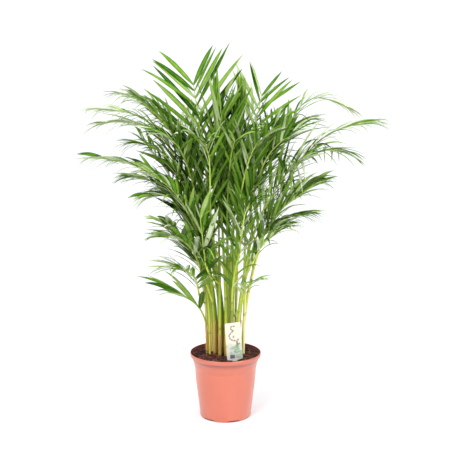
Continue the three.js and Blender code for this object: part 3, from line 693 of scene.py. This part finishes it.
def ink_material(name, colours):
    made = Material(name)
    grain = made.noise(made.place(), scale=500, detail=3)
    made.set(Base_Color=made.ramp(grain, colours), Roughness=0.35)
    return made.made


def floor_material():
    made = Material("studio_floor")
    grain = made.noise(made.place(), scale=3, detail=2)
    made.set(Base_Color=made.ramp(grain, FLOOR_WHITE), Roughness=0.9)
    return made.made


# ---- Studio


def camera():
    data = bpy.data.cameras.new("camera")
    data.lens = CAMERA_LENS
    data.sensor_width = SENSOR_WIDTH
    data.shift_x = (PHOTO_WIDTH / 2 - POT_AXIS_PX) / PHOTO_WIDTH
    data.clip_end = VIEW_END
    made = placed("camera", data)
    made.location = CAMERA_PLACE
    made.rotation_euler = (math.radians(90 - CAMERA_PITCH), 0, 0)
    bpy.context.scene.camera = made


def studio():
    """A round floor that curves up into a wall all round."""
    profile = [(0, 0), (FLOOR_MIDDLE, 0), (FLOOR_RADIUS - FLOOR_CURVE, 0)]
    for i in range(1, FLOOR_CURVE_STEPS + 1):
        angle = math.pi / 2 * i / FLOOR_CURVE_STEPS
        radius = FLOOR_RADIUS - FLOOR_CURVE * (1 - math.sin(angle))
        profile.append((radius, FLOOR_CURVE * (1 - math.cos(angle))))
    profile.append((FLOOR_RADIUS, FLOOR_WALL))
    shape = lathe([(radius / MM, height / MM) for radius, height in profile], FLOOR_SEGMENTS)
    shape.faces = [tuple(reversed(face)) for face in shape.faces]
    floor = placed("studio_floor", mesh_of(shape, "studio_floor", [floor_material()]))
    floor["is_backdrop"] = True


def lights():
    world = bpy.data.worlds.new("studio_sky")
    world.use_nodes = True
    sky = world.node_tree.nodes["Background"]
    sky.inputs["Color"].default_value = (1, 1, 1, 1)
    sky.inputs["Strength"].default_value = SKY_STRENGTH
    bpy.context.scene.world = world
    for name, (place, size, watts) in SOFTBOXES.items():
        data = bpy.data.lights.new(name, "AREA")
        data.shape = "SQUARE"
        data.size = size
        data.energy = watts
        made = placed(name, data)
        made.location = place
        aim = AIMED_AT - Vector(place)
        made.rotation_euler = aim.to_track_quat("-Z", "Y").to_euler()
        made.visible_camera = False
    bpy.context.scene.view_settings.view_transform = "Standard"


# ---- Pot, soil and label


def pot():
    shape = lathe(POT_OUTSIDE + POT_INSIDE, POT_SEGMENTS)
    piece = piece_of(shape, "nursery_pot", [pot_material()], "pot")
    cutters = bmesh.new()
    drain_holes(cutters)
    drain_slots(cutters)
    cut_through(piece, cutters)


def out_from_axis(turn, distance):
    """A place on the floor at a turn round the pot's axis and a distance from it."""
    return Matrix.Rotation(turn, 4, "Z") @ Matrix.Translation(Vector((distance, 0, 0)) * MM)


def drain_holes(cutters):
    hole = DRAIN_HOLES
    radius = hole["radius"] * MM
    for i in range(hole["count"]):
        place = out_from_axis(2 * math.pi * i / hole["count"], hole["ring"])
        bmesh.ops.create_cone(
            cutters, cap_ends=True, segments=hole["sides"], radius1=radius, radius2=radius,
            depth=hole["depth"] * MM, matrix=place)


def drain_slots(cutters):
    slot = DRAIN_SLOTS
    size = Vector((slot["through"], slot["width"], 2 * slot["height"])) * MM
    for i in range(slot["count"]):
        turn = math.radians(slot["turn"]) + 2 * math.pi * i / slot["count"]
        place = out_from_axis(turn, slot["ring"]) @ Matrix.Diagonal(size).to_4x4()
        bmesh.ops.create_cube(cutters, size=1, matrix=place)


def cut_through(piece, cutters):
    """Cuts the cutters' bodies out of a piece and keeps sharp edges sharp."""
    mesh = bpy.data.meshes.new("cutters")
    cutters.to_mesh(mesh)
    cutters.free()
    tool = placed("cutters", mesh)
    cut = piece.modifiers.new("cut", "BOOLEAN")
    cut.operation = "DIFFERENCE"
    cut.solver = "EXACT"
    cut.object = tool
    graph = bpy.context.evaluated_depsgraph_get()
    made = bpy.data.meshes.new_from_object(piece.evaluated_get(graph))
    piece.modifiers.clear()
    piece.data = made
    made.set_sharp_from_angle(angle=math.radians(POT_SHARP_ANGLE))
    bpy.data.objects.remove(tool)


def soil():
    """A turned body with a rough top, and loose crumbs and chips on it."""
    draws = Draws(LOOKS_SEED)
    shape = Shape()
    rings = []
    for radius, height in SOIL_WALL:
        rings.append([Vector((x, y, height)) for x, y in circle(radius, SOIL_SEGMENTS)])
    for i in range(SOIL_RINGS):
        radius = SOIL_WALL[-1][0] * (1 - (i + 1) / (SOIL_RINGS + 1))
        rings.append([Vector((x, y, soil_height(x, y))) for x, y in circle(radius, SOIL_SEGMENTS)])
    shape.tube(rings)
    for _ in range(CRUMBS):
        crumb(shape, draws, CRUMB_SIZE[0] + CRUMB_SIZE[1] * draws.share() ** 2, 1)
    for _ in range(CHIPS):
        crumb(shape, draws, drawn(draws, CHIP_SIZE), CHIP_STRETCH)
    piece_of(shape, "potting_soil", [soil_material()], "soil", smooth=False)


def soil_height(x, y):
    lumps = noise.noise(Vector((x, y, 0)) / SOIL_LUMP)
    lumps += SOIL_GRIT_SHARE * noise.noise(Vector((x, y, 30)) / SOIL_GRIT)
    return SOIL_TOP - SOIL_SINK + SOIL_ROUGHNESS * lumps


def crumb(shape, draws, size, stretch):
    """A small angular lump, half sunk in the soil."""
    radius = CRUMBS_TO * math.sqrt(draws.share())
    angle = 2 * math.pi * draws.share()
    x, y = radius * math.cos(angle), radius * math.sin(angle)
    centre = Vector((x, y, soil_height(x, y) + CRUMB["lift"] * size))
    turn = Matrix.Rotation(2 * math.pi * draws.share(), 3, "Z")
    turn = turn @ Matrix.Rotation(draws.spread(CRUMB["tilt"]), 3, "X")
    lump = bmesh.new()
    bmesh.ops.create_icosphere(lump, subdivisions=1, radius=size)
    first = len(shape.vertices)
    for vertex in lump.verts:
        rough = 1 + draws.spread(CRUMB["roughness"])
        x, y, z = vertex.co
        shape.point(centre + turn @ (Vector((x * stretch, y, z * CRUMB["flatness"])) * rough))
    for face in lump.faces:
        shape.face(tuple(first + vertex.index for vertex in face.verts))
    lump.free()


def label_matrix():
    place = LABEL_PLACE
    made = Matrix.Translation(Vector((place["x"], place["y"], SOIL_TOP)))
    for degrees, axis in ((place["turn"], "Z"), (-place["lean"], "Y"), (-place["tilt"], "X")):
        made = made @ Matrix.Rotation(math.radians(degrees), 4, axis)
    return made @ Matrix.Translation(Vector((0, 0, place["above"])))


def plate(shape, outline, front, back):
    """A flat sheet with an outline in the label's own plane, front and back depth."""
    turn = label_matrix()
    rings = [[turn @ Vector((x, depth, z)) for x, z in outline] for depth in (back, front)]
    shape.tube(rings, [[(x, z, 0) for x, z in outline]] * 2)


def card_outline():
    half, top, corner = LABEL["width"] / 2, LABEL["height"], LABEL["corner"]
    stake = STAKE["width"] / 2
    points = [(0, -STAKE["length"]), (stake, -STAKE["length"] + STAKE["point"]), (stake, 0)]
    points.append((half, STAKE["shoulder"]))
    for side in (1, -1):
        for i in range(CORNER_STEPS + 1):
            step = i / CORNER_STEPS
            angle = math.pi / 2 * (step if side > 0 else 1 - step)
            across = half - corner + corner * math.cos(angle)
            points.append((side * across, top - corner + corner * math.sin(angle)))
    points.append((-half, STAKE["shoulder"]))
    points += [(-stake, 0), (-stake, -STAKE["length"] + STAKE["point"])]
    return points


def leaf_outline(x, z, length, width, degrees):
    """A pointed leaf shape for the print, from its foot in the direction given."""
    angle = math.radians(degrees)
    ahead = Vector((math.sin(angle), math.cos(angle)))
    beside = Vector((ahead.y, -ahead.x))
    points = []
    for side in (1, -1):
        for i in range(PRINTED_LEAF_STEPS):
            share = i / PRINTED_LEAF_STEPS
            share = share if side > 0 else 1 - share
            half = width / 2 * math.sin(math.pi * share) ** 0.8
            place = Vector((x, z)) + ahead * (length * share) + beside * (side * half)
            points.append((place.x, place.y))
    return points


def label():
    """The card on its stake, and the sprig, the trail of leaves and the box printed on it."""
    card = Shape()
    plate(card, card_outline(), CARD_FRONT, -CARD_FRONT)
    label_piece(card, "plant_label", card_material())
    label_piece(printed(sprig_outlines()), "label_sprig", ink_material("sprig_ink", SPRIG_INK))
    label_piece(printed(trail_outlines()), "label_trail", ink_material("soft_ink", SOFT_INK))
    label_piece(printed(block_outlines()), "label_block", ink_material("dark_ink", DARK_INK))


def label_piece(shape, name, material):
    piece_of(shape, name, [material], "label", smooth=False)


def printed(outlines):
    """Raised print on the card's front."""
    shape = Shape()
    for outline in outlines:
        plate(shape, outline, CARD_FRONT - PRINT_DEPTH, CARD_FRONT)
    return shape


def sprig_outlines():
    outlines = []
    for up, length, turn in SPRIG_PAIRS:
        for side in (-1, 1):
            outlines.append(leaf_outline(SPRIG_ACROSS, up, length, SPRIG_WIDTH, side * turn))
    return outlines + [leaf_outline(*SPRIG_END), SPRIG_STEM]


def trail_outlines():
    return [leaf_outline(x, z, *TRAIL_LEAF, degrees) for x, z, degrees in TRAIL]


def block_outlines():
    outlines = [PRINTED_BOX]
    for low, end in PRINTED_LINES:
        outlines.append([(LINES_FROM, low), (end, low), (end, low + 1), (LINES_FROM, low + 1)])
    return outlines


# ---- Fronds


def curve_through(points):
    """A smooth curve through a few points, as a function of the share along it."""
    knots = [0]
    for one, other in zip(points, points[1:]):
        knots.append(knots[-1] + (other - one).length ** CURVE_TENSION)
    end = len(points) - 1

    def slope(i):
        return (points[i + 1] - points[i]) / (knots[i + 1] - knots[i])

    tangents = [None] * len(points)
    for i in range(1, end):
        weight = (knots[i] - knots[i - 1]) / (knots[i + 1] - knots[i - 1])
        tangents[i] = slope(i - 1).lerp(slope(i), weight)
    tangents[0] = slope(0) * 1.5 - tangents[1] * 0.5
    tangents[end] = slope(end - 1) * 1.5 - tangents[end - 1] * 0.5

    def at(share):
        u = share * knots[end]
        i = 0
        while i < end - 1 and u > knots[i + 1]:
            i += 1
        h = knots[i + 1] - knots[i]
        t = (u - knots[i]) / h
        made = points[i] * (2 * t**3 - 3 * t**2 + 1) + tangents[i] * (h * (t**3 - 2 * t**2 + t))
        return made + points[i + 1] * (3 * t**2 - 2 * t**3) + tangents[i + 1] * (h * (t**3 - t**2))

    return evenly([at(i / CURVE_STEPS) for i in range(CURVE_STEPS + 1)])


def evenly(fine):
    """The point at a share of a fine polyline's length."""
    run = [0]
    for one, other in zip(fine, fine[1:]):
        run.append(run[-1] + (other - one).length)

    def at(share):
        want = share * run[-1]
        i = 0
        while i < len(fine) - 2 and run[i + 1] < want:
            i += 1
        return fine[i].lerp(fine[i + 1], way(want, run[i], run[i + 1]))

    return at


class Frond:
    """One frond's rib: its curve, its frame along the way and its driving sizes."""

    def __init__(self, row, number, firsts):
        (self.shoot, self.start, knee, crest, tip, self.bare, self.pairs, self.length,
         self.width, self.sag, self.open, self.fold, self.roll) = row
        x, y, self.foot = SHOOTS[self.shoot]
        foot = firsts[self.shoot].curve(self.start) if self.start else Vector((x, y, SOIL_TOP))
        points = [foot, Vector(knee), Vector(crest), Vector(tip)]
        if not self.start:
            points.insert(1, waist_of(foot, points[1]))
        self.curve = curve_through(points)
        self.side = (Vector(tip) - foot).cross(UP).normalized()
        self.number = number
        stops = [self.curve(i / REACH_STEPS) for i in range(REACH_STEPS + 1)]
        self.reach = sum((other - one).length for one, other in zip(stops, stops[1:]))

    def frame(self, share):
        """The rib's direction, its side and its upper side."""
        rib = self.curve(min(1, share + FRAME_STEP)) - self.curve(max(0, share - FRAME_STEP))
        rib.normalize()
        across = turned_about(square(self.side, rib), rib, self.roll)
        return rib, across, across.cross(rib)

    def radius(self, share):
        leafy = max(0, (share - self.bare) / (1 - self.bare))
        if leafy > 0:
            return PETIOLE_RADIUS + (TIP_RADIUS - PETIOLE_RADIUS) * leafy
        if self.start > 0:
            return PETIOLE_RADIUS
        sheath = min(1, share / SHEATH_END)
        petiole = max(0, (share - SHEATH_END) / (self.bare - SHEATH_END))
        radius = self.foot + (SHEATH_RADIUS - self.foot) * sheath
        return radius + (PETIOLE_RADIUS - SHEATH_RADIUS) * petiole

    def leaflets(self):
        draws = Draws(SEED + 101 * self.number)
        made = []
        for pair in range(self.pairs):
            place = (pair + 0.5 + draws.spread(PAIR_SPREAD)) / self.pairs
            made += [Leaflet(self, place, hand, draws) for hand in (-1, 1)]
        if self.sag >= PLUME_SAG:
            made += self.slender_leaflets()
        return made

    def slender_leaflets(self):
        """Narrow leaflets that hang between the pairs of a drooping plume."""
        draws = Draws(SLENDER_SEED + 101 * self.number)
        made = []
        for pair in range(self.pairs):
            place = (pair + 1 + draws.spread(SLENDER_SPREAD)) / self.pairs
            place = min(LAST_SLENDER_PLACE, place)
            for hand in (-1, 1):
                leaflet = Leaflet(self, place, hand, draws)
                leaflet.wide *= SLENDER_WIDTH
                leaflet.drop *= SLENDER_DROP
                made.append(leaflet)
        return made


def waist_of(foot, knee):
    """The point a stalk passes at the height where the stalks start to spread."""
    x = foot.x * WAIST_SPREAD + (knee.x - foot.x) * WAIST_LEAN
    y = foot.y * WAIST_SPREAD + (knee.y - foot.y) * WAIST_LEAN
    return Vector((x, y, WAIST_HEIGHT))


class Leaflet:
    """One leaflet: where it leaves the rib, which way it goes and how far it droops."""

    def __init__(self, frond, place, hand, draws):
        crowded = 1 - (1 - place) ** CROWDING
        self.share = frond.bare + (LAST_LEAFLET - frond.bare) * crowded
        self.rib, across, upper = frond.frame(self.share)
        angle = math.radians(frond.open * (1 - CLOSURE * place) + draws.spread(OPEN_SPREAD))
        lift = math.radians(frond.fold + draws.spread(FOLD_SPREAD))
        outward = across * (hand * math.cos(lift)) + upper * math.sin(lift)
        self.direction = self.rib * math.cos(angle) + outward * math.sin(angle)
        bulge = math.sin(math.pi * min(1, 0.2 + 0.8 * place)) ** 0.8
        self.size = frond.length * (0.5 + 0.5 * bulge) * (1 + draws.spread(SIZE_SPREAD))
        slat = -hand * (SLAT_ANGLE + draws.spread(SLAT_SPREAD))
        self.flat = turned_about(square(self.rib, self.direction), self.direction, slat)
        self.drop = frond.sag * (1 + draws.spread(DROP_SPREAD))
        self.wide = frond.width * (0.75 + 0.25 * self.size / frond.length)
        self.root = frond.curve(self.share)
        self.hand = hand

    def midrib(self):
        """It arches over by its own weight and a little towards the frond's tip."""
        points = [self.root.copy()]
        for i in range(2 * BLADE_STEPS):
            share = (i + 0.5) / (2 * BLADE_STEPS)
            sunk = UP * (ARCH * self.drop * share**ARCH)
            step = self.direction - sunk + self.rib * (TIPWARD * share)
            points.append(points[-1] + step.normalized() * (self.size / (2 * BLADE_STEPS)))
        return evenly(points)


def blade_width(share, wide):
    foot = FOOT_WIDTH + (1 - FOOT_WIDTH) * math.sin(math.pi / 2 * way(share, 0, WIDE_FROM))
    return wide * foot * (1 - way(share, NARROW_FROM, 1) ** 2)


def leaflet_tone(leaflet, frond_tone, looks):
    away = leaflet.root.xy.length / PLANT_RADIUS - EVEN_AWAY
    low = way(leaflet.root.z, *LOW_BAND)
    high = way(leaflet.root.z, *HIGH_BAND)
    # Painted shade near the plant's axis and painted light at its edge.
    tone = frond_tone + EDGE_LIGHT_CORE_SHADE * away + LOW_TONE * low + HIGH_TONE * high
    return tone + looks.spread(TONE_SPREAD - TONE_SPREAD_LOST * high)


def grow_blade(shape, leaflet, looks, frond_tone, material):
    """A thin folded blade: its crest runs along the upper side and its halves slope down."""
    at = leaflet.midrib()
    tone = leaflet_tone(leaflet, frond_tone, looks)
    twist = looks.spread(BLADE_TWIST)
    wave = looks.share()
    rings, marks = [], []
    for i in range(BLADE_STEPS + 1):
        share = BLADE_START + BLADE_REACH * i / BLADE_STEPS
        forward = (at(min(1, share + 0.05)) - at(max(0, share - 0.05))).normalized()
        flat = turned_about(square(leaflet.flat, forward), forward, twist * share)
        normal = forward.cross(flat) * leaflet.hand
        half = max(LEAST_HALF_WIDTH, blade_width(share, leaflet.wide) / 2)
        thick = BLADE_THICKNESS * (1 - 0.5 * share)
        ripple = RIPPLE * half * math.sin(2 * math.pi * (RIPPLES * share + wave))
        rings.append(blade_ring(at(share), flat, normal, half, thick, ripple))
        marks.append(blade_marks(share, tone))
    if leaflet.hand < 0:
        rings = [ring[::-1] for ring in rings]
        marks = [ring[::-1] for ring in marks]
    shape.tube(rings, marks, material)


def blade_ring(centre, flat, normal, half, thick, ripple):
    ring = []
    for across, side in BLADE_SECTION:
        rise = BLADE_FOLD * half * (0.6 - abs(across) ** 1.3) + ripple * across
        keel = KEEL if across == 0 else 1
        height = rise + side * keel * thick / 2
        ring.append(centre + flat * (across * half) + normal * height)
    return ring


def blade_marks(share, tone):
    return [(across, share + (2 if side < 0 else 0), tone) for across, side in BLADE_SECTION]


def grow_stalk(shape, frond, tone, material):
    """A stalk: a round sheath, then a petiole and rib with a channel along the upper side."""
    last = frond.leaflets()[-1].share + ROOT_WIDTH / 2 / frond.reach
    steps = max(STALK_LEAST_STEPS, round(last * frond.reach / STALK_STEP))
    rings = [] if frond.start else buried_rings(frond)
    marks = [stalk_marks(0, tone) for _ in rings]
    for i in range(0 if frond.start else 1, steps + 1):
        share = last * i / steps
        _, across, upper = frond.frame(share)
        channel = 1 if frond.start else way(share, SHEATH_END, SHEATH_END + CHANNEL_FADE)
        rings.append(stalk_ring(frond.curve(share), across, upper, frond.radius(share), channel))
        marks.append(stalk_marks(share, tone))
    rib, across, upper = frond.frame(last)
    tip = frond.curve(last) + rib * TIP_LENGTH
    rings.append(stalk_ring(tip, across, upper, TIP_END_RADIUS, 0))
    marks.append(stalk_marks(1, tone))
    shape.tube(rings, marks, material)


def buried_rings(frond):
    """The upright foot of a stalk, from its end in the soil to just above the soil."""
    x, y, foot = SHOOTS[frond.shoot]
    across = square(frond.frame(0)[1], UP)
    places = [Vector((x, y, SOIL_TOP + height)) for height in (-STALK_DEPTH, 1)]
    return [stalk_ring(place, across, across.cross(UP), foot, 0) for place in places]


def stalk_ring(centre, across, upper, radius, channel):
    ring = []
    for k in range(STALK_SIDES):
        angle = 2 * math.pi * k / STALK_SIDES
        dip = 1 - CHANNEL_DEPTH * channel * max(0, math.cos(angle)) ** 6
        out = upper * (math.cos(angle) * dip) - across * math.sin(angle)
        ring.append(centre + out * radius)
    return ring


def stalk_marks(share, tone):
    return [(share, abs(2 * k / STALK_SIDES - 1), tone) for k in range(STALK_SIDES)]


def grow_sheath(shape, frond, looks, material):
    """A dry outer sheath round the foot of a stalk, split down one side and torn at its top."""
    height = drawn(looks, DRY_HEIGHT)
    turn = looks.share() * 2 * math.pi
    rings, marks = [], []
    for i in range(DRY_STEPS + 1):
        up = i / DRY_STEPS
        share = up * height / frond.reach
        opening = DRY_OPENING[0] + DRY_OPENING[1] * up**2
        gap = DRY_GAP[0] + DRY_GAP[1] * up**2
        ring, ring_marks = [], []
        for side, step in sheath_wall():
            angle = turn + opening + (2 * math.pi - 2 * opening) * step
            out = across_stalk(frond, share, angle)
            ragged = UP * (DRY_RAGS * math.sin(angle * 3 + turn) * up**3)
            radius = frond.radius(share) + gap + DRY_WALL * side
            ring.append(frond.curve(share) + out * radius + ragged)
            ring_marks.append((up, step, turn))
        rings.append(ring)
        marks.append(ring_marks)
    shape.tube(rings, marks, material)


def sheath_wall():
    """Round a sheath's wall: outside (1) from edge to edge, then inside (-1) and back."""
    steps = [k / DRY_SIDES for k in range(DRY_SIDES + 1)]
    return [(1, step) for step in steps] + [(-1, 1 - step) for step in steps]


def across_stalk(frond, share, angle):
    """The way out of a stalk at an angle from its upper side."""
    _, across, upper = frond.frame(share)
    return upper * math.cos(angle) - across * math.sin(angle)


def all_fronds():
    fronds, firsts = [], {}
    for number, row in enumerate(FRONDS):
        frond = Frond(row, number, firsts)
        fronds.append(frond)
        if not frond.start:
            firsts[frond.shoot] = frond
    return fronds


def grow_frond(shape, frond):
    """A stalk or rib (material 0), its leaflets (1) and sometimes a dry sheath (2)."""
    looks = Draws(LOOKS_SEED + 37 * frond.number)
    tone = FROND_TONE + looks.spread(FROND_TONE_SPREAD)
    grow_stalk(shape, frond, looks.share(), 0)
    for leaflet in frond.leaflets():
        grow_blade(shape, leaflet, looks, tone, 1)
    if not frond.start and looks.share() < SHEATHED:
        grow_sheath(shape, frond, looks, 2)


def shoots():
    materials = [stalk_material(), leaf_material(), sheath_material()]
    fronds = all_fronds()
    for number in SHOOTS:
        shape = Shape()
        for frond in fronds:
            if frond.shoot == number:
                grow_frond(shape, frond)
        node = f"shoot_{number:02}"
        piece_of(shape, node + "_grown", materials, node)


# ---- The whole


def corners(box):
    """A box's two corners as plain lists of numbers."""
    return [list(corner) for corner in box]


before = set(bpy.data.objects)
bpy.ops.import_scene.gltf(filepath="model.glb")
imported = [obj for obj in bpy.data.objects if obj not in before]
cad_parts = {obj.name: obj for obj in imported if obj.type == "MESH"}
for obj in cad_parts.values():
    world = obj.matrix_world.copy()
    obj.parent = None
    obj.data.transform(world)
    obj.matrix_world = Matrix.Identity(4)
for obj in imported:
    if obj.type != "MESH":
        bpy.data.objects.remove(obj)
cad_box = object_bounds()
camera()
studio()
lights()
pot()
soil()
label()
shoots()
{"cad": corners(cad_box), "visual": corners(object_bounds())}
